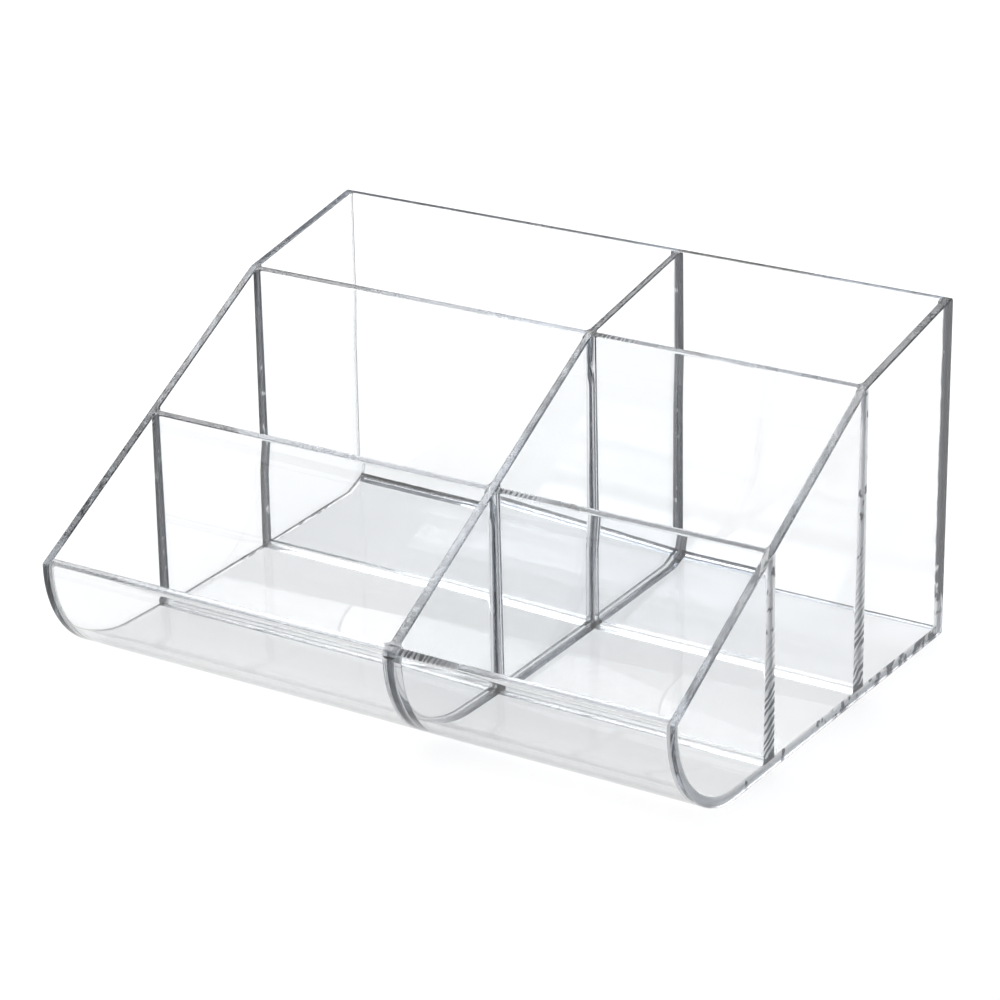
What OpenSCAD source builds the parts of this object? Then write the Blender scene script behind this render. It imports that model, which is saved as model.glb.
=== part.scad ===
// Clear vanity organizer of nine moulded sheets: a floor that bends up into a front lip,
// a back wall, two side walls, a centre divider and four cross dividers.
// X runs left to right, Y front to back and Z up. The origin is the middle of the underside.

/* [Bays and rows] */
// Width of the left bay, from the outside of the tray to the middle of the centre divider
left_bay_w = 138; // [90:1:170]
// Width of the right bay, from the middle of the centre divider to the outside of the tray
right_bay_w = 102; // [70:1:170]
// Depth of the front row, from the front of the lip to the middle of the front dividers
front_row_d = 60; // [45:1:90]
// Depth of the middle row, from the middle of the front dividers to that of the rear ones
middle_row_d = 60; // [40:1:90]
// Depth of the rear row, from the middle of the rear dividers to the back of the tray
rear_row_d = 60; // [40:1:90]

/* [Side outline] */
// Outer radius of the bend from the floor to the lip
lip_r = 38; // [20:1:40]
// Height of the straight stretch of the lip above that bend
lip_straight = 2; // [1:0.5:20]
// Rise of the steep top edge, from the lip to the middle of the rear dividers
steep_rise = 68; // [40:1:90]
// Rise of the gentle top edge, from the middle of the rear dividers to the back of the tray
gentle_rise = 12; // [4:1:20]
// Radius that rounds the turn between the steep and the gentle top edge
turn_r = 8; // [2:0.5:12]
// Radius that rounds the other corners of the outline
corner_r = 1.2; // [0.5:0.1:2]

/* [Sheets] */
// Thickness of the side walls and the back wall
wall_t = 3; // [2:0.1:4]
// Thickness of the floor and of the lip that it bends up into
floor_t = 3; // [2:0.1:4]

/* [Dividers] */
// Thickness of a divider at the floor
divider_base_t = 4.4; // [3:0.1:5.5]
// Thickness of a divider at the height of its top edge, which the draft leaves
divider_top_t = 2.4; // [1.6:0.1:2.8]
// Radius of the fillets at a divider's foot
foot_fillet_r = 1.7; // [1.5:0.1:2.2]
// Radius of the upright fillets at a divider's ends
end_fillet_r = 1.2; // [0.8:0.1:1.4]

/* [Hidden] */

// Colour of the clear sheet
clear = [0.86, 0.89, 0.91, 0.4];
// How far a fillet runs into the sheets that it joins, before it is trimmed to them
fuse = 0.5;
// Thickness left at a fillet's thin edges
fillet_edge_t = 0.08;
// How far a cut runs past what it cuts
overrun = 1;
// Sides that stand for a full circle
$fn = 96;
// Steps in the arc of a rounded corner
corner_steps = 6;

// Places along X
tray_w = left_bay_w + right_bay_w;
side_in_x = tray_w / 2 - wall_t;
centre_x = left_bay_w - tray_w / 2;

// Places along Y
tray_d = front_row_d + middle_row_d + rear_row_d;
front_y = -tray_d / 2;
back_y = tray_d / 2;
lip_in_y = front_y + floor_t;
back_in_y = back_y - wall_t;
bend_y = front_y + lip_r;
front_divider_y = front_y + front_row_d;
rear_divider_y = front_divider_y + middle_row_d;

// Heights of the lip, of the front and rear dividers and of the back wall
rim_h = lip_r + lip_straight;
rear_divider_h = rim_h + steep_rise;
front_divider_h = rim_h + steep_rise * front_row_d / (front_row_d + middle_row_d);
back_h = rear_divider_h + gentle_rise;

// Lean of each face of a divider whose top edge is at top_z
function draft(top_z) = atan((divider_base_t - divider_top_t) / 2 / (top_z - floor_t));

function unit(v) = v / norm(v);

// Arc of radius r that rounds the corner p between the points a and b
function corner_arc(a, p, b, r) =
    let (u = unit(a - p), v = unit(b - p), half = acos(u * v) / 2,
         centre = p + unit(u + v) * r / sin(half),
         from = (p + u * r / tan(half) - centre) / r,
         to = (p + v * r / tan(half) - centre) / r,
         turn = 180 - 2 * half)
    [for (i = [0:corner_steps])
        let (s = i / corner_steps)
        centre + r * (sin((1 - s) * turn) * from + sin(s * turn) * to) / sin(turn)];

// Waste outside a quarter circle of radius r that rounds the front bottom corner at y, z
module bend_waste(y, z, r) difference() {
    translate([y - overrun, z - overrun]) square(r + overrun);
    translate([y + r, z + r]) circle(r = r);
}

// Outline of the whole organizer seen from the side, which every sheet is trimmed to
module outline() {
    back_bottom = [back_y, 0];
    back_top = [back_y, back_h];
    turn = [rear_divider_y, rear_divider_h];
    rim = [front_y, rim_h];
    front_bottom = [front_y, 0];
    difference() {
        polygon(concat(
            corner_arc(front_bottom, back_bottom, back_top, corner_r),
            corner_arc(back_bottom, back_top, turn, corner_r),
            corner_arc(back_top, turn, rim, turn_r),
            corner_arc(turn, rim, front_bottom, corner_r),
            [front_bottom]));
        bend_waste(front_y, 0, lip_r);
    }
}

// Space between the lip, the floor and the back wall, seen from the side
module inside() {
    high_z = back_h + overrun;
    difference() {
        translate([lip_in_y, floor_t]) square([back_in_y - lip_in_y, high_z - floor_t]);
        bend_waste(lip_in_y, floor_t, lip_r - floor_t);
    }
}

// Extrusions of a side view along X and of a front view along Y
module along_x(x0, x1) translate([x0, 0, 0]) rotate([90, 0, 90]) linear_extrude(height = x1 - x0) children();
module along_y(y0, y1) translate([0, y1, 0]) rotate([90, 0, 0]) linear_extrude(height = y1 - y0) children();

// Section of a fillet of radius r in a corner at the origin, between sheets along +X and +Y
module fillet_section(r) difference() {
    translate([-fuse, -fuse]) square(r + fuse);
    translate([r, r]) circle(r = r - fillet_edge_t);
}

// The children, and their mirror image across the plane through the origin square to axis
module both_sides(axis) {
    children();
    mirror(axis) children();
}

// Sheet of a divider that stands on the floor along X, from x0 to x1, with drafted faces and a top
// edge at top_z, a little taller until it is trimmed. Its foot is centred on the X axis.
// fillet_ends holds the ends, of x0 and x1, where upright fillets widen it.
module divider_sheet(x0, x1, top_z, fillet_ends) both_sides([0, 1, 0])
    translate([0, divider_base_t / 2, floor_t]) rotate([draft(top_z), 0, 0]) translate([0, 0, -fuse])
        linear_extrude(height = top_z + divider_base_t) {
            translate([x0 - fuse, -divider_base_t / 2 - fuse])
                square([x1 - x0 + 2 * fuse, divider_base_t / 2 + fuse]);
            for (end = fillet_ends)
                translate([end, 0]) mirror([end == x0 ? 0 : 1, 0]) fillet_section(end_fillet_r);
        }

// The centre divider's sheet, with an upright fillet at each of fillet_ends
module centre_sheet(fillet_ends) translate([centre_x, 0, 0]) rotate([0, 0, 90])
    divider_sheet(lip_in_y, back_in_y, back_h, fillet_ends);

// A cross divider at depth y, from the inner face of a side wall to the centre divider.
// side is -1 in the left bay and 1 in the right one.
module cross_divider(side, y, top_z) {
    wall_x = side * side_in_x;
    face_x = centre_x + side * divider_base_t / 2;
    x0 = min(wall_x, face_x);
    x1 = max(wall_x, face_x);
    color(clear) difference() {
        intersection() {
            translate([0, y, 0]) {
                divider_sheet(x0, x1, top_z, [x0, x1]);
                both_sides([0, 1, 0]) along_x(x0 - fuse, x1 + fuse)
                    translate([divider_base_t / 2, floor_t]) fillet_section(foot_fillet_r);
            }
            along_x(min(wall_x, centre_x), max(wall_x, centre_x)) intersection() {
                outline();
                inside();
            }
        }
        centre_sheet([]);
    }
}

module base_tray() color(clear) along_x(-side_in_x, side_in_x) difference() {
    outline();
    inside();
    translate([back_in_y, -overrun]) square([wall_t + overrun, back_h + 2 * overrun]);
}

module back_wall() color(clear) along_x(-side_in_x, side_in_x) intersection() {
    outline();
    translate([back_in_y, -overrun]) square([wall_t + overrun, back_h + 2 * overrun]);
}

module left_side_wall() color(clear) along_x(-tray_w / 2, -side_in_x) outline();

module right_side_wall() color(clear) along_x(side_in_x, tray_w / 2) outline();

// Fillets of the centre divider on its +X side, round the floor, the bend and the lip.
// They stop at the cross dividers, whose own fillets fill those corners.
module centre_foot_fillet() {
    half = divider_base_t / 2;
    reach = half + foot_fillet_r;
    difference() {
        union() {
            along_y(bend_y - fuse, back_y) translate([half, floor_t]) fillet_section(foot_fillet_r);
            translate([0, bend_y, lip_r]) rotate([0, 90, 0]) rotate([0, 0, -90]) rotate_extrude(angle = 90)
                translate([lip_r - floor_t, half]) mirror([1, 0]) fillet_section(foot_fillet_r);
            translate([half, lip_in_y, lip_r - fuse]) linear_extrude(height = rim_h) fillet_section(foot_fillet_r);
        }
        for (y = [front_divider_y, rear_divider_y])
            translate([0, y - reach, 0]) cube([reach, 2 * reach, back_h]);
    }
}

module centre_divider() color(clear) intersection() {
    union() {
        centre_sheet([back_in_y]);
        translate([centre_x, 0, 0]) both_sides([1, 0, 0]) centre_foot_fillet();
    }
    along_x(-tray_w / 2, tray_w / 2) intersection() {
        outline();
        inside();
    }
}

module left_rear_divider() cross_divider(-1, rear_divider_y, rear_divider_h);

module left_front_divider() cross_divider(-1, front_divider_y, front_divider_h);

module right_rear_divider() cross_divider(1, rear_divider_y, rear_divider_h);

module right_front_divider() cross_divider(1, front_divider_y, front_divider_h);

base_tray();
back_wall();
left_side_wall();
right_side_wall();
centre_divider();
left_rear_divider();
left_front_divider();
right_rear_divider();
right_front_divider();
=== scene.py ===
"""Vanity organizer of clear plastic: nine moulded sheets on a pale studio floor.

Each sheet is a loft: closed rings of points, worked out as whole arrays, joined station by station
and closed at both ends. Every sheet reaches a hair into its neighbours, so light passes from one
to the next as it does in a moulding.
"""
import math

import bpy
import numpy as np
from mathutils import Matrix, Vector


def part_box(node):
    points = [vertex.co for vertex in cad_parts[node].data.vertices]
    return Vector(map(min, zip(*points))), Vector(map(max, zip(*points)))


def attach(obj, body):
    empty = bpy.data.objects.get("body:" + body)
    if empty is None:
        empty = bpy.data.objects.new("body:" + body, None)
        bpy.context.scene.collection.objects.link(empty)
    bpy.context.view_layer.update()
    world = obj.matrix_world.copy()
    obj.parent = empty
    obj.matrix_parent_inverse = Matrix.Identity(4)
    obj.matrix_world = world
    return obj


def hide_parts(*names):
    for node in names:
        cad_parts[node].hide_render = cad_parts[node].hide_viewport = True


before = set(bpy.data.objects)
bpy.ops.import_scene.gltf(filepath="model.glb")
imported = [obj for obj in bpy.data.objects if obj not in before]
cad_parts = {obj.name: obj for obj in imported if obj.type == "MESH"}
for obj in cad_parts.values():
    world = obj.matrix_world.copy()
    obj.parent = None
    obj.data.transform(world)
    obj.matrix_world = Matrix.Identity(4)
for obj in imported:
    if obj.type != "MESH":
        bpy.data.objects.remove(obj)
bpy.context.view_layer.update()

MM = 0.001

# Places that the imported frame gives
TRAY_LOW, TRAY_HIGH = [np.array(corner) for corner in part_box("base_tray")]
WALL_LOW, WALL_HIGH = [np.array(corner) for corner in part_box("right_side_wall")]
CENTRE_LOW, CENTRE_HIGH = [np.array(corner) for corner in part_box("centre_divider")]
OUT_X = WALL_HIGH[0]
IN_X = WALL_LOW[0]
FRONT_Y = TRAY_LOW[1]
BACK_Y = WALL_HIGH[1]
BACK_IN_Y = TRAY_HIGH[1]
FLOOR_T = CENTRE_LOW[2]
LIP_IN_Y = CENTRE_LOW[1]
CENTRE_X = (CENTRE_LOW[0] + CENTRE_HIGH[0]) / 2

# Side outline: the bend under the lip, the lip's straight stretch, the rises of the steep and the gentle
# top edge, and the radii of the turn between them and of the other corners
LIP_R = 38 * MM
LIP_STRAIGHT = 2 * MM
STEEP_RISE = 68 * MM
GENTLE_RISE = 12 * MM
TURN_R = 8 * MM
CORNER_R = 1.2 * MM

# Heights of the lip and of the back, and depth of the bend's centre
RIM_Z = LIP_R + LIP_STRAIGHT
BACK_Z = RIM_Z + STEEP_RISE + GENTLE_RISE
BEND_Y = FRONT_Y + LIP_R

# Divider sheets: their draft and the fillets at their feet and ends
BASE_T = 4.4 * MM
TOP_T = 2.4 * MM
FOOT_R = 1.7 * MM
END_R = 1.2 * MM

# Softened edges, fillets along the floor and up the back corners, how far a sheet reaches into its
# neighbour, and the gap between a rounding and the next row of points, which keeps the flats flat
EDGE_R = 0.45 * MM
WALL_FILLET_R = 0.45 * MM
LEFT_UPRIGHT_R = 0.25 * MM
RIGHT_UPRIGHT_R = 1.3 * MM
REACH = 0.1 * MM
HOLD = 0.12 * MM

# Steps of a small rounding and of the bend, sections of the centre divider along the bend, rows up the
# dividers and the back wall, and points between the two rims of a cross divider's top edge
ARC_STEPS = 6
BEND_STEPS = 40
BEND_SECTIONS = 34
CENTRE_ROWS = 22
CROSS_ROWS = 6
BACK_ROWS = 11
CROWN_POINTS = 5

# Even steps along X, along Y and, as a share of its length, along a cross divider
STEP_X = 3 * MM
STEP_Y = 4 * MM
CROSS_STEP = 0.06

# Sections of the centre divider that lie closer together than this are made into one
CLOSEST = 0.02 * MM

# Rows and stations over a hollow fillet, as shares of its radius
FILLET_STEPS = np.array([0.03, 0.1, 0.2, 0.33, 0.5, 0.7, 1.0, 1.12])
WALL_FILLET_STEPS = np.array([0.03, 0.1, 0.22, 0.4, 0.65, 1.0, 1.1])

# How worked the lip's top edge and the side walls' lower edges look beside the other top edges
LIP_RIM_SHARE = 0.4
BEND_RIM_SHARE = 0.1

# How far the painted dark rungs reach, along an edge from the centre divider and up a divider's end, and
# how much they stretch upwards
RUNG_REACH = 24 * MM
RUNG_TOP = 44 * MM
RUNG_Z_SCALE = 0.62

# How much of a joint line is painted dark gaps: at the dividers' ends, along the tray's ends from the bend
# to the back, and up the back wall's right end, whose line starts on its fillet, from its foot to GAPS_Z
LEFT_END_GAPS = 0.85
RIGHT_END_GAPS = 0.35
CENTRE_END_GAPS = 0.9
TRAY_GAPS = (0.15, 0.6)
TRAY_GAPS_Y = (BEND_Y - 0.3 * LIP_R, BACK_Y)
BACK_FOOT_GAPS = 0.3
BACK_SEAM_X = IN_X - 0.8 * RIGHT_UPRIGHT_R
GAPS_Z = 30 * MM

# Height up to which the foot of a divider's end with painted rungs is painted dark all over
DARK_FOOT_Z = FLOOR_T + 1.05 * FOOT_R

# How much shade is painted into the plastic's colour, darkening it: on the top edges that run along X, at
# the left wall, in the middle and at the right wall; low on the bend's outside, up to SHADED_Z and fading
# out towards the floor; and inside, by the lip, at the foot of the bend and on the floor
CREST_SHADE = (0.4, 1.2, 1.6)
OUTSIDE_SHADE = 1.7
OUTSIDE_SHADE_Y = (BEND_Y - 0.43 * LIP_R, BEND_Y - 0.23 * LIP_R)
SHADED_Z = 24 * MM
INSIDE_SHADE = (0.1, 0.35, 0.1)
INSIDE_SHADE_Y = (FRONT_Y + 0.2 * LIP_R, BEND_Y, BEND_Y + 0.6 * LIP_R)

# Masks on the points, in this order: cut edges, painted dark rungs, painted dark gaps and painted shade
MASKS = ("rim", "weld", "seam", "shade")

# Scales of the patterns in the plastic: the chatter of a cut edge, the patches where marks come and go,
# the painted dark gaps along a joint, the painted dark rungs and the ripple of the faces
CHATTER_SCALE = 340
PATCH_SCALE = 38
GAP_SCALE = 220
RUNG_SCALE = 350
RUNG_DISTORTION = 5
RIPPLE_SCALE = 60

# Values of a pattern at which something starts to show and shows fully: grains, the patches that hold
# them, painted dark rungs, the patches that hold those, and painted dark gaps. SEAM_LIFT is what a full
# mask of painted gaps adds to its pattern.
GRAINS_FROM_TO = (0.44, 0.6)
GRAIN_PATCHES_FROM_TO = (0.42, 0.6)
RUNGS_FROM_TO = (0.4, 0.55)
RUNG_PATCHES_FROM_TO = (0.15, 0.25)
GAPS_FROM_TO = (0.72, 0.8)
SEAM_LIFT = 0.5

# A mask of painted rungs or painted gaps starts to count and counts fully at these values
MASK_FROM_TO = (0.0, 0.1)

# The plastic's surface where it is clear and where painted dark rungs, painted dark gaps and painted shade
# darken it, and how far full painted shade goes from the one to the other
CLEAR_SURFACE = (0.962, 0.967, 0.97, 1)
PAINTED_DARK_SURFACE = (0.012, 0.014, 0.02, 1)
SHADE_DARKNESS = 0.6

# How rough a cut edge is between its grains, how much rougher the grains are, how rough a place with
# painted rungs or gaps is, and how much of this roughness the plastic takes
EDGE_ROUGHNESS = 0.15
GRAIN_ROUGHNESS = 0.3
JOINT_ROUGHNESS = 0.6
FROST = 0.85

# Relief of the plastic: its strength and depth, and the ripple of the faces beside the chatter
RELIEF_STRENGTH = 0.24
RELIEF_DEPTH = 0.4 * MM
RIPPLE_SHARE = 0.05

# What the plastic leaves of red, green and blue light along its depth, and how fast it takes the rest,
# for the upright sheets and for the tray
CLEAR_TINT = (0.785, 0.803, 0.83, 1)
SHEET_DENSITY = 28
TRAY_DENSITY = 16
PLASTIC_IOR = 1.5

# How much of a lamp's light a sheet lets through, face on and grazing, from where on it counts as
# grazing, and how much of that light is left where shade is painted in full
LAMP_THROUGH = (0.985, 0.94)
GRAZING_FROM = 0.6
SHADE_THROUGH = 0.95

# Camera: direction from which the object is seen, roll, distance, aim and focal length
CAMERA_AZIMUTH = 33.11
CAMERA_ELEVATION = 22.33
CAMERA_ROLL = -1.04
CAMERA_DISTANCE = 1.1549
CAMERA_AIM = (0.0013, 0.0, 0.0558)
CAMERA_LENS = 126.37

# Studio floor: where it starts to rise, the radius of its rise and the steps in it, the height of its
# wall, half its width and the stations across it, and how far it lies below the object
FLOOR_REACH = 1.6
FLOOR_BEND_R = 0.8
FLOOR_BEND_STEPS = 24
FLOOR_WALL = 2.0
FLOOR_HALF = 4.0
FLOOR_STATIONS = 9
FLOOR_GAP = 0.4 * MM

# The floor's roughness, the scale on which its tone drifts, and its darkest and palest tone
FLOOR_ROUGHNESS = 0.6
FLOOR_DRIFT_SCALE = 1.5
FLOOR_TONES = (0.88, 0.92)

# Place, size and power of each light, and the point that both face
TOP_LIGHT = ((-0.48, 0.48, 1.28), (1.4, 1.2), 18)
RIM_LIGHT = ((-0.764, 0.302, 1.255), (0.8, 0.4), 3.2)
LIGHT_AIM = (0.0, 0.0, 0.05)

# How bright the world is at the horizon and overhead, and where along the upright it changes
WORLD_LIGHT = (0.7, 0.5)
WORLD_FROM_TO = (-0.1, 0.9)

# How often light may pass through or mirror off a sheet, and bounce off the floor
BOUNCES = 128
FLOOR_BOUNCES = 4


def unit(v):
    """The direction of v."""
    return np.asarray(v, float) / np.linalg.norm(v)


def rounded(a, p, b, radius, steps=ARC_STEPS):
    """Corner p between the lines to a and b, rounded by the circle of that radius that touches both."""
    a, p, b = [np.asarray(q, float) for q in (a, p, b)]
    u, v = unit(a - p), unit(b - p)
    half = math.acos(np.clip(u @ v, -1, 1)) / 2
    centre = p + unit(u + v) * radius / math.sin(half)
    start = p + u * radius / math.tan(half) - centre
    end = p + v * radius / math.tan(half) - centre
    turn = math.pi - 2 * half
    s = np.linspace(0, 1, steps + 1)[:, None]
    return centre + (np.sin((1 - s) * turn) * start + np.sin(s * turn) * end) / math.sin(turn)


def arc(centre, radius, start, end, steps):
    """Points on a circle from one angle to another, in degrees."""
    angle = np.radians(np.linspace(start, end, steps + 1))
    return np.stack([centre[0] + radius * np.cos(angle), centre[1] + radius * np.sin(angle)], -1)


def middle_y(node):
    """Depth of the middle of a node's box."""
    return float(np.mean([corner[1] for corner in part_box(node)]))


def outline():
    """The organizer seen from the side, as a closed line of y and z that runs from the rim over the
    top edge, down the back, along the underside and up the bend."""
    rim = (FRONT_Y, RIM_Z)
    turn = (middle_y("left_rear_divider"), RIM_Z + STEEP_RISE)
    back_top = (BACK_Y, BACK_Z)
    back_bottom = (BACK_Y, 0.0)
    front_bottom = (FRONT_Y, 0.0)
    top = np.concatenate([
        rounded(front_bottom, rim, turn, CORNER_R),
        rounded(rim, turn, back_top, TURN_R, 2 * ARC_STEPS),
        rounded(turn, back_top, back_bottom, CORNER_R)])
    bottom = np.concatenate([
        rounded(back_top, back_bottom, front_bottom, CORNER_R),
        arc((BEND_Y, LIP_R), LIP_R, 270, 180, BEND_STEPS)])
    return top, np.concatenate([top, bottom])


TOP_LINE, OUTLINE = outline()


def top_z(y):
    """Height of the top edge at depth y."""
    return np.interp(y, TOP_LINE[:, 0], TOP_LINE[:, 1])


def top_slope(y):
    """Slope of the top edge at depth y."""
    return (top_z(y + HOLD) - top_z(y - HOLD)) / (2 * HOLD)


def fillet(distance, radius):
    """How far a hollow fillet, a quarter circle of that radius, stands out at a distance from the
    corner."""
    inside = np.clip(1 - distance / radius, 0, 1)
    return radius * (1 - np.sqrt(1 - inside ** 2))


def merged(a, b, radius):
    """Two fillets that meet in a corner, blended so that together they never pass the radius."""
    return a + b - a * b / radius


def inwards(loop):
    """Unit normals of a closed line of y and z that point to the space it encloses: to its left where
    its area comes out positive, and otherwise to its right."""
    following = np.roll(loop, -1, 0)
    area = np.sum(loop[:, 0] * following[:, 1] - following[:, 0] * loop[:, 1])
    ahead = following - loop
    ahead /= np.linalg.norm(ahead, axis=1)[:, None]
    along = ahead + np.roll(ahead, 1, 0)
    along /= np.linalg.norm(along, axis=1)[:, None]
    return np.sign(area) * np.stack([-along[:, 1], along[:, 0]], -1)


def fillet_stations(radius, steps=FILLET_STEPS):
    """Distances from the end of a sheet, close together where its fillet rises."""
    return np.array([0.0, 0.5 * REACH, REACH, *(REACH + radius * steps)])


def spaced(start, end, near_start, near_end, step):
    """Stations from start to end: the given distances from each end, and even steps between them."""
    inner = np.arange(start + near_start[-1], end - near_end[-1], step)[1:]
    return np.concatenate([start + near_start, inner, (end - near_end)[::-1]])


def wall_stations(left_r=WALL_FILLET_R, right_r=WALL_FILLET_R):
    """Places along X from one side wall to the other, close together where the fillets rise."""
    ends = [fillet_stations(radius, WALL_FILLET_STEPS) for radius in (left_r, right_r)]
    return spaced(-IN_X - REACH, IN_X + REACH, *ends, STEP_X)


def carried(x, section):
    """Rings at the places x along X, of the y and z that the section has at each."""
    x = np.broadcast_to(x[:, None, None], section[..., :1].shape)
    return np.concatenate([x, section], -1)


def near_centre(x):
    """1 by the centre divider's right face, falling to 0 over the outer half of the painted rungs' reach,
    and 0 on its left."""
    away = x - (CENTRE_X + TOP_T / 2)
    return np.where(away > 0, np.clip(2 - 2 * away / RUNG_REACH, 0, 1), 0)


def crest_shade(x):
    """How much shade is painted into the top edges that run along X: more and more from left to right."""
    return np.interp(x, [-IN_X, 0, IN_X], CREST_SHADE)


def loft(name, rings, rim, weld=0.0, seam=0.0, shade=0.0, cap_rows=0):
    """A closed sheet through rings of shape (stations, points, 3). Each ring is joined to the next by
    quads. The first and the last are filled by rows of quads, each between a step from the ring's start
    and the same step from its end, and by one face for the rest. Masks of the points tell, in the order of
    MASKS, how far each lies on a cut edge, carries painted dark rungs, carries painted dark gaps or
    carries painted shade."""
    stations, points = rings.shape[:2]
    index = np.arange(stations * points).reshape(stations, points)
    quads = np.stack([index[:-1], np.roll(index[:-1], -1, 1), np.roll(index[1:], -1, 1), index[1:]], -1)
    up = np.arange(cap_rows)
    across = np.stack([up, up + 1, points - 2 - up, points - 1 - up], -1)
    rest = np.arange(cap_rows, points - cap_rows)
    caps = [*index[0][across[:, ::-1]].tolist(), index[0][rest[::-1]].tolist(),
            *index[-1][across].tolist(), index[-1][rest].tolist()]
    mesh = bpy.data.meshes.new(name)
    mesh.from_pydata(rings.reshape(-1, 3).tolist(), [], quads.reshape(-1, 4).tolist() + caps)
    mesh.validate()
    mesh.calc_loop_triangles()
    corners = rings.reshape(-1, 3)[np.array([t.vertices[:] for t in mesh.loop_triangles])]
    volume = np.einsum("ij,ij->i", corners[:, 0], np.cross(corners[:, 1], corners[:, 2])).sum()
    if volume < 0:
        mesh.flip_normals()
    mesh.shade_smooth()
    for mask, value in zip(MASKS, (rim, weld, seam, shade)):
        values = np.broadcast_to(value, (stations, points)).astype(np.float32)
        mesh.attributes.new(mask, "FLOAT", "POINT").data.foreach_set("value", values.ravel())
    piece = bpy.data.objects.new(name, mesh)
    bpy.context.scene.collection.objects.link(piece)
    return piece


def side_wall(name, side):
    """The outline carried across the wall's thickness, drawn in by a quarter round at each face."""
    angle = np.radians(np.linspace(0, 90, ARC_STEPS + 1))
    inset = np.concatenate([[EDGE_R + HOLD], EDGE_R * (1 - np.sin(angle)), [0.0]])
    depth = np.concatenate([[0.0], EDGE_R * (1 - np.cos(angle)), [EDGE_R + HOLD]])
    inset = np.concatenate([inset, inset[::-1]])
    x = np.concatenate([IN_X + depth, OUT_X - depth[::-1]])
    section = OUTLINE[None] + inwards(OUTLINE)[None] * inset[:, None, None]
    top = np.arange(len(OUTLINE)) < len(TOP_LINE) - ARC_STEPS
    flat = (x > IN_X + EDGE_R + HOLD / 2) & (x < OUT_X - EDGE_R - HOLD / 2)
    return loft(name, carried(side * x, section), flat[:, None] * np.where(top, 1, BEND_RIM_SHARE))


def base_tray():
    """Floor, bend and lip as one closed section of y and z, carried along X. Its inner side rises along
    its normal by a hollow fillet at each side wall."""
    lip_top = (LIP_IN_Y, float(top_z(LIP_IN_Y)))
    outer = np.concatenate([
        rounded((FRONT_Y, 0), (FRONT_Y, RIM_Z), lip_top, CORNER_R)[::-1],
        arc((BEND_Y, LIP_R), LIP_R, 180, 270, BEND_STEPS),
        [(BACK_IN_Y + REACH, 0.0)]])
    end = [(BACK_IN_Y + REACH, FLOOR_T + WALL_FILLET_R)]
    inner = np.concatenate([
        arc((BACK_IN_Y - WALL_FILLET_R, FLOOR_T + WALL_FILLET_R), WALL_FILLET_R, 0, -90, ARC_STEPS),
        arc((BEND_Y, LIP_R), LIP_R - FLOOR_T, 270, 180, BEND_STEPS),
        rounded((LIP_IN_Y, 0), lip_top, (FRONT_Y, RIM_Z), EDGE_R)])
    loop = np.concatenate([outer, end, inner])
    y, z = loop.T
    rises = np.zeros(len(loop))
    rises[len(outer) + len(end):-ARC_STEPS] = 1
    x = wall_stations()
    flare = fillet(np.maximum(IN_X - abs(x), 0), WALL_FILLET_R)
    section = loop[None] - inwards(loop)[None] * (flare[:, None] * rises)[..., None]
    cut = np.zeros(len(loop))
    cut[:ARC_STEPS // 2] = 1
    cut[-1] = 1
    # Painted dark rungs on the lip's top edge right of the centre divider, and painted dark gaps on the
    # tray's ends
    weld = cut * near_centre(x)[:, None]
    seam = np.interp(y, TRAY_GAPS_Y, TRAY_GAPS) * (abs(x) >= IN_X)[:, None]
    # Painted shade: low on the bend's outside, fading out upwards and towards the floor, and a little
    # inside
    on_bend = np.interp(y, OUTSIDE_SHADE_Y, [1, 0])
    outside = OUTSIDE_SHADE * on_bend * np.clip(1 - z / SHADED_Z, 0, 1) ** 2
    inside = np.interp(y, INSIDE_SHADE_Y, INSIDE_SHADE)
    shade = np.where(np.arange(len(loop)) < len(outer), outside, inside)
    rings = carried(x, section)
    return loft("base_tray_sheet", rings, LIP_RIM_SHARE * cut, weld, seam, shade, len(outer) - 1)


def back_wall():
    """Section of y and z carried along X. Its front face rises by a hollow fillet at each side wall."""
    back_top = (BACK_Y, BACK_Z)
    front_top = (BACK_IN_Y, float(top_z(BACK_IN_Y)))
    heights = np.linspace(CORNER_R, front_top[1] - 2 * EDGE_R, BACK_ROWS + 1)[1:]
    back_face = np.concatenate([
        rounded((BACK_IN_Y, 0), (BACK_Y, 0), back_top, CORNER_R),
        np.stack([np.full(BACK_ROWS, BACK_Y), heights], -1)])
    back_corner = rounded((BACK_Y, 0), back_top, front_top, CORNER_R)
    front_corner = rounded(back_top, front_top, (BACK_IN_Y, 0), EDGE_R)
    front_face = np.stack([np.full(len(back_face), BACK_IN_Y), back_face[:, 1]], -1)
    loop = np.concatenate([back_face, back_corner, front_corner, front_face[::-1]])
    front = len(back_face) + len(back_corner)
    rises = np.arange(len(loop)) >= front
    x = wall_stations(LEFT_UPRIGHT_R, RIGHT_UPRIGHT_R)
    upright_r = np.where(x > 0, RIGHT_UPRIGHT_R, LEFT_UPRIGHT_R)
    flare = fillet(np.maximum(IN_X - abs(x), 0), upright_r)
    y = loop[None, :, 0] - flare[:, None] * rises
    z = loop[None, :, 1] + 0 * y
    cut = np.zeros(len(loop))
    cut[front - ARC_STEPS // 2:front + 1] = 1
    # Painted dark gaps up the back wall's right end, and painted shade along its top edge
    gaps = np.clip(z / GAPS_Z, BACK_FOOT_GAPS, 1) * (z < heights[-1] + HOLD)
    seam = gaps * (x > BACK_SEAM_X)[:, None]
    shade = cut * (crest_shade(x) * (x < IN_X - RIGHT_UPRIGHT_R))[:, None]
    rings = carried(x, np.stack([y, z], -1))
    return loft("back_wall_sheet", rings, cut, seam=seam, shade=shade, cap_rows=len(back_face) - 1)


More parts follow.
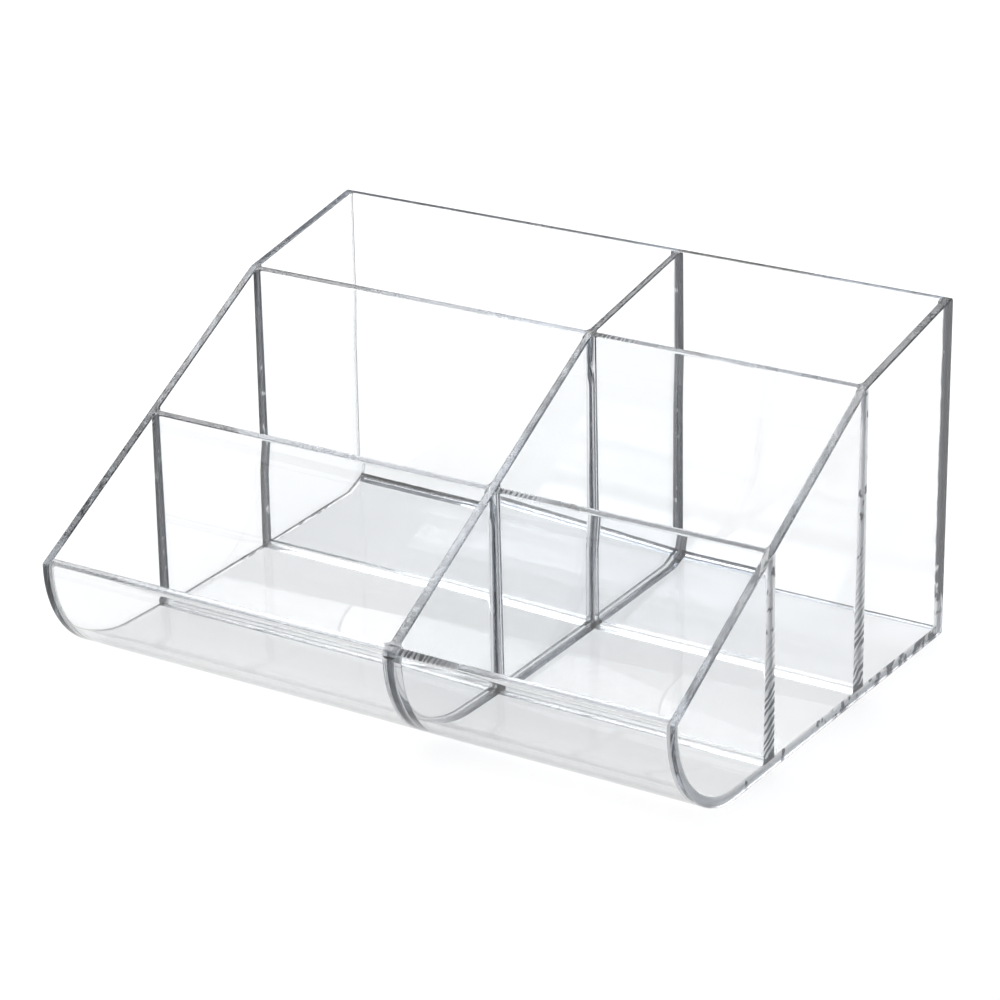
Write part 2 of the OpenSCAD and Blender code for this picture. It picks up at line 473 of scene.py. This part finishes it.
def draft_half(z, top):
    """Half the thickness of a divider at height z, from its base to its top edge."""
    return BASE_T / 2 - (BASE_T - TOP_T) / 2 * (z - FLOOR_T) / (top - FLOOR_T)


def centre_half(z):
    """Half the thickness of the centre divider at height z."""
    return draft_half(z, BACK_Z)


# Heights of the rows over a divider's foot, above the surface that it stands on
FOOT_ROWS = np.array([-REACH, 0.0, *(FOOT_R * FILLET_STEPS)])


def cross_divider(name, node, side):
    """A section of y and z carried along X from the side wall to the drafted face of the centre
    divider. The section leans in by its draft, stands on hollow foot fillets and is cut to the slope of
    the top edge, and it widens by upright fillets at both ends."""
    y0 = middle_y(node)
    top = float(top_z(y0))
    half = TOP_T / 2
    foot = FLOOR_T + FOOT_ROWS
    sides = []
    for turn in (1, -1):
        corner = np.array([turn * half, float(top_z(y0 + turn * half))])
        across = np.array([-turn, -turn * float(top_slope(y0 + turn * half))])
        edge = rounded(corner - (0, MM), corner, corner + across * MM, EDGE_R)
        rows = np.concatenate([foot, np.linspace(foot[-1], edge[0, 1] - HOLD, CROSS_ROWS + 1)[1:]])
        face = np.stack([turn * draft_half(rows, top), rows], -1)
        sides.append(np.concatenate([face, edge]))
    span = np.linspace(sides[0][-1, 0], sides[1][-1, 0], CROWN_POINTS + 2)[1:-1]
    crown = np.stack([span, top_z(y0 + span)], -1)
    loop = np.concatenate([sides[0], crown, sides[1][::-1]])
    n = len(sides[0])
    lateral = np.concatenate([np.ones(n), crown[:, 0] / half, -np.ones(n)])
    foot_flare = fillet(np.maximum(loop[:, 1] - FLOOR_T, 0), FOOT_R) * (abs(lateral) == 1)
    wall = side * (IN_X + REACH)
    face_x = CENTRE_X + side * (centre_half(loop[:, 1]) - REACH)
    near = fillet_stations(END_R) / abs(wall - face_x).mean()
    station = spaced(0.0, 1.0, near, near, CROSS_STEP)
    x = wall + (face_x - wall)[None] * station[:, None]
    to_wall = np.maximum(abs(x - wall) - REACH, 0)
    to_centre = np.maximum(abs(x - face_x[None]) - REACH, 0)
    end_flare = np.maximum(fillet(to_wall, END_R), fillet(to_centre, END_R))
    y = y0 + loop[None, :, 0] + merged(end_flare, foot_flare[None], FOOT_R) * lateral[None]
    at_edge = np.arange(n) >= n - len(edge)
    crest = np.concatenate([at_edge, np.ones(len(crown), bool), at_edge[::-1]])
    rise = top_z(y0 + loop[None, :, 0] + end_flare * lateral[None]) - top_z(y0 + loop[None, :, 0])
    z = loop[None, :, 1] + rise * crest[None]
    cut = np.concatenate([np.zeros(n), np.ones(len(crown)), np.zeros(n)])[None]

    # The painted rungs on the right are full up to three quarters of RUNG_TOP. Below their top only the
    # foot has painted dark gaps.
    at_wall = np.arange(len(x))[:, None] < 2
    painted_rung_share = np.clip(4 - 4 * z / RUNG_TOP, 0, 1) * (side > 0)
    weld = np.where(at_wall, painted_rung_share, cut * near_centre(x))
    # Painted dark gaps at the end by the side wall
    gaps = np.where(painted_rung_share > 0, z < DARK_FOOT_Z, RIGHT_END_GAPS if side > 0 else LEFT_END_GAPS)
    # Painted shade on the top edge, outside the painted rungs
    shade = cut * crest_shade(x) * (1 - near_centre(x))
    return loft(name, np.stack([x, y, z], -1), cut, weld, at_wall * gaps * (1 - cut), shade, n)


def centre_divider():
    """Upright sections of x and z carried along Y from the lip to the back wall. Each stands on the
    inner side of lip, bend and floor, with a hollow fillet by its distance to them, leans in by its
    draft and ends at the slope of the top edge. The sheet widens by a fillet at the back wall."""
    inner_r = LIP_R - FLOOR_T
    front = BEND_Y - inner_r * np.cos(np.radians(np.linspace(0, 90, BEND_SECTIONS)))
    back = BACK_IN_Y + REACH - fillet_stations(END_R)[::-1]
    middle = np.arange(BEND_Y + STEP_Y, back[0] - STEP_Y / 2, STEP_Y)
    turn = TOP_LINE[ARC_STEPS + 1:-ARC_STEPS - 1, 0]
    y = np.unique(np.concatenate([[LIP_IN_Y - REACH], front, middle, turn, back]))
    y = y[np.concatenate([[True], np.diff(y) > CLOSEST])]
    low = LIP_R - np.sqrt(np.maximum(inner_r ** 2 - np.clip(y - BEND_Y, -inner_r, 0) ** 2, 0))
    high = top_z(y)
    height = (high - low)[:, None] - EDGE_R - HOLD
    above = np.linspace(0, 1, CENTRE_ROWS + 1 - len(FOOT_ROWS))[None, 1:]
    foot_rows = np.broadcast_to(FOOT_ROWS, (len(y), len(FOOT_ROWS)))
    fine = np.concatenate([foot_rows, FOOT_ROWS[-1] + (height - FOOT_ROWS[-1]) * above], 1)
    even = -REACH + (height + REACH) * np.linspace(0, 1, CENTRE_ROWS)[None]

    # Even rows at the lip turn smoothly into rows that are close at the foot, over half the bend
    blend = np.clip((y - LIP_IN_Y) / (0.5 * inner_r), 0, 1)[:, None]
    blend = blend * blend * (3 - 2 * blend)
    face_z = low[:, None] + even * (1 - blend) + fine * blend

    angle = np.radians(np.linspace(0, 90, ARC_STEPS + 1))
    edge_z = high[:, None] - EDGE_R * (1 - np.sin(angle))[None]
    z = np.concatenate([face_z, edge_z], 1)
    to_bend = inner_r - np.hypot(np.minimum(y[:, None] - BEND_Y, 0), np.minimum(z - LIP_R, 0))
    foot = fillet(np.maximum(to_bend, 0), FOOT_R)
    end = fillet(np.maximum(BACK_IN_Y - y, 0), END_R)[:, None]
    half = centre_half(z) + merged(foot, end, FOOT_R)
    half[:, CENTRE_ROWS:] -= EDGE_R * (1 - np.cos(angle))[None]
    x = CENTRE_X + np.concatenate([half, -half[:, ::-1]], 1)
    z = np.concatenate([z, z[:, ::-1]], 1)
    rings = np.stack([x, np.broadcast_to(y[:, None], x.shape), z], -1)
    n = half.shape[1]
    cut = np.concatenate([np.arange(n) == n - 1, np.arange(n) == 0])
    below_edge = np.arange(n) < CENTRE_ROWS
    below_edge = np.concatenate([below_edge, below_edge[::-1]])
    # Painted dark gaps on the end at the back wall
    seam = CENTRE_END_GAPS * (y > BACK_IN_Y)[:, None] * below_edge
    return loft("centre_divider_sheet", rings, cut, seam=seam, cap_rows=n - 1)


def feed(tree, socket, value):
    """Link the output of a node to a socket, or set the socket to a number."""
    if isinstance(value, bpy.types.NodeSocket):
        tree.links.new(value, socket)
    else:
        socket.default_value = value


def calculate(tree, operation, *values):
    """A Math node on outputs of nodes and numbers."""
    node = tree.nodes.new("ShaderNodeMath")
    node.operation = operation
    for socket, value in zip(node.inputs, values):
        feed(tree, socket, value)
    return node.outputs["Value"]


def ramp(tree, value, low, high, to_low=0.0, to_high=1.0):
    """A value between low and high, turned into one between to_low and to_high and held there."""
    node = tree.nodes.new("ShaderNodeMapRange")
    for name, number in zip(("From Min", "From Max", "To Min", "To Max"), (low, high, to_low, to_high)):
        node.inputs[name].default_value = number
    tree.links.new(value, node.inputs["Value"])
    return node.outputs["Result"]


def noise(tree, scale, detail=2):
    """Noise over a piece, whose features are about one metre divided by the scale."""
    place = tree.nodes.new("ShaderNodeTexCoord")
    texture = tree.nodes.new("ShaderNodeTexNoise")
    texture.inputs["Scale"].default_value = scale
    texture.inputs["Detail"].default_value = detail
    tree.links.new(place.outputs["Object"], texture.inputs["Vector"])
    return texture.outputs["Fac"]


def slanting_rungs(tree):
    """Bands by x plus RUNG_Z_SCALE times the height over a line at the slope of the steep top edge. They
    lie square across a top edge that runs along X, and cross the upright ends too."""
    place = tree.nodes.new("ShaderNodeTexCoord")
    slant = tree.nodes.new("ShaderNodeMapping")
    slope = float(top_slope(BEND_Y))
    slant.inputs["Scale"].default_value = (1, -RUNG_Z_SCALE * slope, RUNG_Z_SCALE)
    bands = tree.nodes.new("ShaderNodeTexWave")
    bands.bands_direction = "DIAGONAL"
    bands.inputs["Scale"].default_value = RUNG_SCALE
    bands.inputs["Distortion"].default_value = RUNG_DISTORTION
    bands.inputs["Detail"].default_value = 1
    tree.links.new(place.outputs["Object"], slant.inputs["Vector"])
    tree.links.new(slant.outputs["Vector"], bands.inputs["Vector"])
    return ramp(tree, bands.outputs["Fac"], *RUNGS_FROM_TO)


def worked_edge():
    """Node group for cut edges and joints: grains along cut edges that scatter light, and painted dark
    rungs at joints, both in patches, painted dark gaps along joints, and painted shade, which all darken
    the colour. It puts out the surface's colour, roughness and height."""
    group = bpy.data.node_groups.new("worked_edge", "ShaderNodeTree")
    for name in ("Rim", "Weld", "Seam", "Shade", "Frost"):
        group.interface.new_socket(name=name, in_out="INPUT", socket_type="NodeSocketFloat")
    group.interface.new_socket(name="Color", in_out="OUTPUT", socket_type="NodeSocketColor")
    for name in ("Roughness", "Height"):
        group.interface.new_socket(name=name, in_out="OUTPUT", socket_type="NodeSocketFloat")
    given = group.nodes.new("NodeGroupInput").outputs
    result = group.nodes.new("NodeGroupOutput").inputs

    chatter = noise(group, CHATTER_SCALE)
    patches = noise(group, PATCH_SCALE, 1)
    grains = ramp(group, chatter, *GRAINS_FROM_TO)
    grains = calculate(group, "MULTIPLY", grains, ramp(group, patches, *GRAIN_PATCHES_FROM_TO))
    grains = calculate(group, "MULTIPLY_ADD", grains, GRAIN_ROUGHNESS, EDGE_ROUGHNESS)
    grains = calculate(group, "MULTIPLY", grains, given["Rim"])

    # Painted dark rungs, in patches
    steps = calculate(group, "MULTIPLY", slanting_rungs(group), given["Weld"])
    steps = calculate(group, "MULTIPLY", steps, ramp(group, patches, *RUNG_PATCHES_FROM_TO))
    # Painted dark gaps along joints
    gaps = calculate(group, "MULTIPLY_ADD", given["Seam"], SEAM_LIFT, noise(group, GAP_SCALE))
    gaps = ramp(group, gaps, *GAPS_FROM_TO)
    gaps = calculate(group, "MULTIPLY", gaps, ramp(group, given["Seam"], *MASK_FROM_TO))
    # Painted shade
    shaded = calculate(group, "MULTIPLY", given["Shade"], SHADE_DARKNESS)
    dark = calculate(group, "MAXIMUM", calculate(group, "MAXIMUM", steps, gaps), shaded)
    # The painted rungs, gaps and shade darken the colour by mixing it towards the dark surface
    surface = group.nodes.new("ShaderNodeMix")
    surface.data_type = "RGBA"
    feed(group, surface.inputs["Factor"], dark)
    clear_socket, dark_socket = [socket for socket in surface.inputs if socket.type == "RGBA"]
    clear_socket.default_value = CLEAR_SURFACE
    dark_socket.default_value = PAINTED_DARK_SURFACE
    mixed = next(socket for socket in surface.outputs if socket.type == "RGBA")
    feed(group, result["Color"], mixed)

    joint = ramp(group, calculate(group, "MAXIMUM", given["Weld"], given["Seam"]), *MASK_FROM_TO)
    rough = calculate(group, "MAXIMUM", grains, calculate(group, "MULTIPLY", joint, JOINT_ROUGHNESS))
    feed(group, result["Roughness"], calculate(group, "MULTIPLY", rough, given["Frost"]))
    cut = calculate(group, "MULTIPLY", chatter, given["Rim"])
    ripple = calculate(group, "MULTIPLY", noise(group, RIPPLE_SCALE), RIPPLE_SHARE)
    feed(group, result["Height"], calculate(group, "ADD", cut, ripple))
    return group


def clear_plastic(name, worked, density):
    """Clear moulded plastic: bends light, takes a little of it along its depth, and lets lamps through.
    A lamp's light that only grazes a sheet is held back more."""
    material = bpy.data.materials.new(name)
    material.use_nodes = True
    tree = material.node_tree
    tree.nodes.clear()
    edge = tree.nodes.new("ShaderNodeGroup")
    edge.node_tree = worked
    edge.inputs["Frost"].default_value = FROST
    masks = {}
    for mask in MASKS:
        attribute = tree.nodes.new("ShaderNodeAttribute")
        attribute.attribute_name = mask
        masks[mask] = attribute.outputs["Fac"]
        feed(tree, edge.inputs[mask.capitalize()], masks[mask])
    bump = tree.nodes.new("ShaderNodeBump")
    bump.inputs["Strength"].default_value = RELIEF_STRENGTH
    bump.inputs["Distance"].default_value = RELIEF_DEPTH
    feed(tree, bump.inputs["Height"], edge.outputs["Height"])
    shader = tree.nodes.new("ShaderNodeBsdfPrincipled")
    shader.inputs["Transmission Weight"].default_value = 1
    shader.inputs["IOR"].default_value = PLASTIC_IOR
    feed(tree, shader.inputs["Base Color"], edge.outputs["Color"])
    feed(tree, shader.inputs["Roughness"], edge.outputs["Roughness"])
    feed(tree, shader.inputs["Normal"], bump.outputs["Normal"])

    grazing = tree.nodes.new("ShaderNodeLayerWeight")
    held = ramp(tree, grazing.outputs["Facing"], GRAZING_FROM, 1.0, *LAMP_THROUGH)
    # Where shade is painted, lamps' light also passes less, so the cast shadow there is darker
    thrown = ramp(tree, masks["shade"], 0.0, 1.0, 1.0, SHADE_THROUGH)
    lamp = tree.nodes.new("ShaderNodeBsdfTransparent")
    feed(tree, lamp.inputs["Color"], calculate(tree, "MULTIPLY", held, thrown))
    path = tree.nodes.new("ShaderNodeLightPath").outputs
    either = calculate(tree, "MAXIMUM", path["Is Shadow Ray"], path["Is Diffuse Ray"])
    mix = tree.nodes.new("ShaderNodeMixShader")
    feed(tree, mix.inputs["Fac"], either)
    feed(tree, mix.inputs[1], shader.outputs["BSDF"])
    feed(tree, mix.inputs[2], lamp.outputs["BSDF"])

    depth = tree.nodes.new("ShaderNodeVolumeAbsorption")
    depth.inputs["Color"].default_value = CLEAR_TINT
    depth.inputs["Density"].default_value = density
    output = tree.nodes.new("ShaderNodeOutputMaterial")
    feed(tree, output.inputs["Surface"], mix.outputs["Shader"])
    feed(tree, output.inputs["Volume"], depth.outputs["Volume"])
    return material


def pale_floor():
    """A matt pale surface whose tone drifts a little from place to place."""
    material = bpy.data.materials.new("pale_floor")
    material.use_nodes = True
    tree = material.node_tree
    shader = tree.nodes["Principled BSDF"]
    shader.inputs["Roughness"].default_value = FLOOR_ROUGHNESS
    drift = noise(tree, FLOOR_DRIFT_SCALE)
    feed(tree, shader.inputs["Base Color"], ramp(tree, drift, 0.0, 1.0, *FLOOR_TONES))
    return material


def studio_floor():
    """A pale floor that rises into a backdrop: a straight line, a quarter round and a wall, carried
    along X."""
    profile = np.concatenate([
        [(-FLOOR_HALF, 0.0)],
        arc((FLOOR_REACH, FLOOR_BEND_R), FLOOR_BEND_R, -90, 0, FLOOR_BEND_STEPS),
        [(FLOOR_REACH + FLOOR_BEND_R, FLOOR_BEND_R + FLOOR_WALL)]])
    x = np.linspace(-FLOOR_HALF, FLOOR_HALF, FLOOR_STATIONS)
    section = np.broadcast_to(profile - (0, FLOOR_GAP), (len(x), *profile.shape))
    index = np.arange(len(x) * len(profile)).reshape(len(x), len(profile))
    faces = np.stack([index[:-1, :-1], index[1:, :-1], index[1:, 1:], index[:-1, 1:]], -1)
    mesh = bpy.data.meshes.new("studio_floor")
    mesh.from_pydata(carried(x, section).reshape(-1, 3).tolist(), [], faces.reshape(-1, 4).tolist())
    mesh.shade_smooth()
    mesh.materials.append(pale_floor())
    floor = bpy.data.objects.new("studio_floor", mesh)
    bpy.context.scene.collection.objects.link(floor)


def placed(name, data, axes, place):
    """A light or camera at a place, with its right, up and back along the axes given."""
    item = bpy.data.objects.new(name, data)
    item.matrix_world = Matrix([(*row, p) for row, p in zip(np.stack(axes, 1), place)] + [(0, 0, 0, 1)])
    bpy.context.scene.collection.objects.link(item)
    return item


def soft_light(name, place, size, power):
    """A rectangular soft light that faces the object."""
    light = bpy.data.lights.new(name, "AREA")
    light.shape = "RECTANGLE"
    light.size, light.size_y = size
    light.energy = power
    back = unit(np.array(place) - np.array(LIGHT_AIM))
    right = unit(np.cross((0, 0, 1), back))
    placed(name, light, [right, np.cross(back, right), back], place)


def camera():
    """The camera on a sphere round its aim, turned by its roll about its own line of sight."""
    az, el, roll = [math.radians(a) for a in (CAMERA_AZIMUTH, CAMERA_ELEVATION, CAMERA_ROLL)]
    back = np.array([math.sin(az) * math.cos(el), -math.cos(az) * math.cos(el), math.sin(el)])
    level = np.array([math.cos(az), math.sin(az), 0.0])
    steep = np.cross(back, level)
    right = math.cos(roll) * level + math.sin(roll) * steep
    up = -math.sin(roll) * level + math.cos(roll) * steep
    data = bpy.data.cameras.new("camera")
    data.lens = CAMERA_LENS
    data.sensor_width = 36
    data.clip_start, data.clip_end = 0.05, 50
    place = np.array(CAMERA_AIM) + back * CAMERA_DISTANCE
    bpy.context.scene.camera = placed("camera", data, [right, up, back], place)


def studio():
    """World, lights and how light is traced and shown."""
    scene = bpy.context.scene
    world = bpy.data.worlds.new("studio")
    scene.world = world
    world.use_nodes = True
    tree = world.node_tree
    place = tree.nodes.new("ShaderNodeTexCoord")
    split = tree.nodes.new("ShaderNodeSeparateXYZ")
    feed(tree, split.inputs["Vector"], place.outputs["Generated"])
    sky = tree.nodes["Background"]
    sky.inputs["Color"].default_value = (1, 1, 1, 1)
    bright = ramp(tree, split.outputs["Z"], *WORLD_FROM_TO, *WORLD_LIGHT)
    feed(tree, sky.inputs["Strength"], bright)
    soft_light("top_light", *TOP_LIGHT)
    soft_light("rim_light", *RIM_LIGHT)
    scene.view_settings.view_transform = "Standard"
    scene.cycles.use_denoising = True
    scene.cycles.caustics_reflective = False
    scene.cycles.caustics_refractive = False
    scene.cycles.max_bounces = BOUNCES
    scene.cycles.transmission_bounces = BOUNCES
    scene.cycles.glossy_bounces = BOUNCES
    scene.cycles.transparent_max_bounces = BOUNCES
    scene.cycles.diffuse_bounces = FLOOR_BOUNCES


camera()
studio()
studio_floor()
worked = worked_edge()
plastic = clear_plastic("clear_plastic", worked, SHEET_DENSITY)
tray_plastic = clear_plastic("clear_plastic_tray", worked, TRAY_DENSITY)
sheets = {
    "left_side_wall": side_wall("left_side_wall_sheet", -1),
    "right_side_wall": side_wall("right_side_wall_sheet", 1),
    "base_tray": base_tray(),
    "back_wall": back_wall(),
    "centre_divider": centre_divider(),
    "left_rear_divider": cross_divider("left_rear_divider_sheet", "left_rear_divider", -1),
    "left_front_divider": cross_divider("left_front_divider_sheet", "left_front_divider", -1),
    "right_rear_divider": cross_divider("right_rear_divider_sheet", "right_rear_divider", 1),
    "right_front_divider": cross_divider("right_front_divider_sheet", "right_front_divider", 1),
}
for node, sheet in sheets.items():
    sheet.data.materials.append(tray_plastic if node == "base_tray" else plastic)
    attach(sheet, "root")
    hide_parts(node)

bpy.context.view_layer.update()
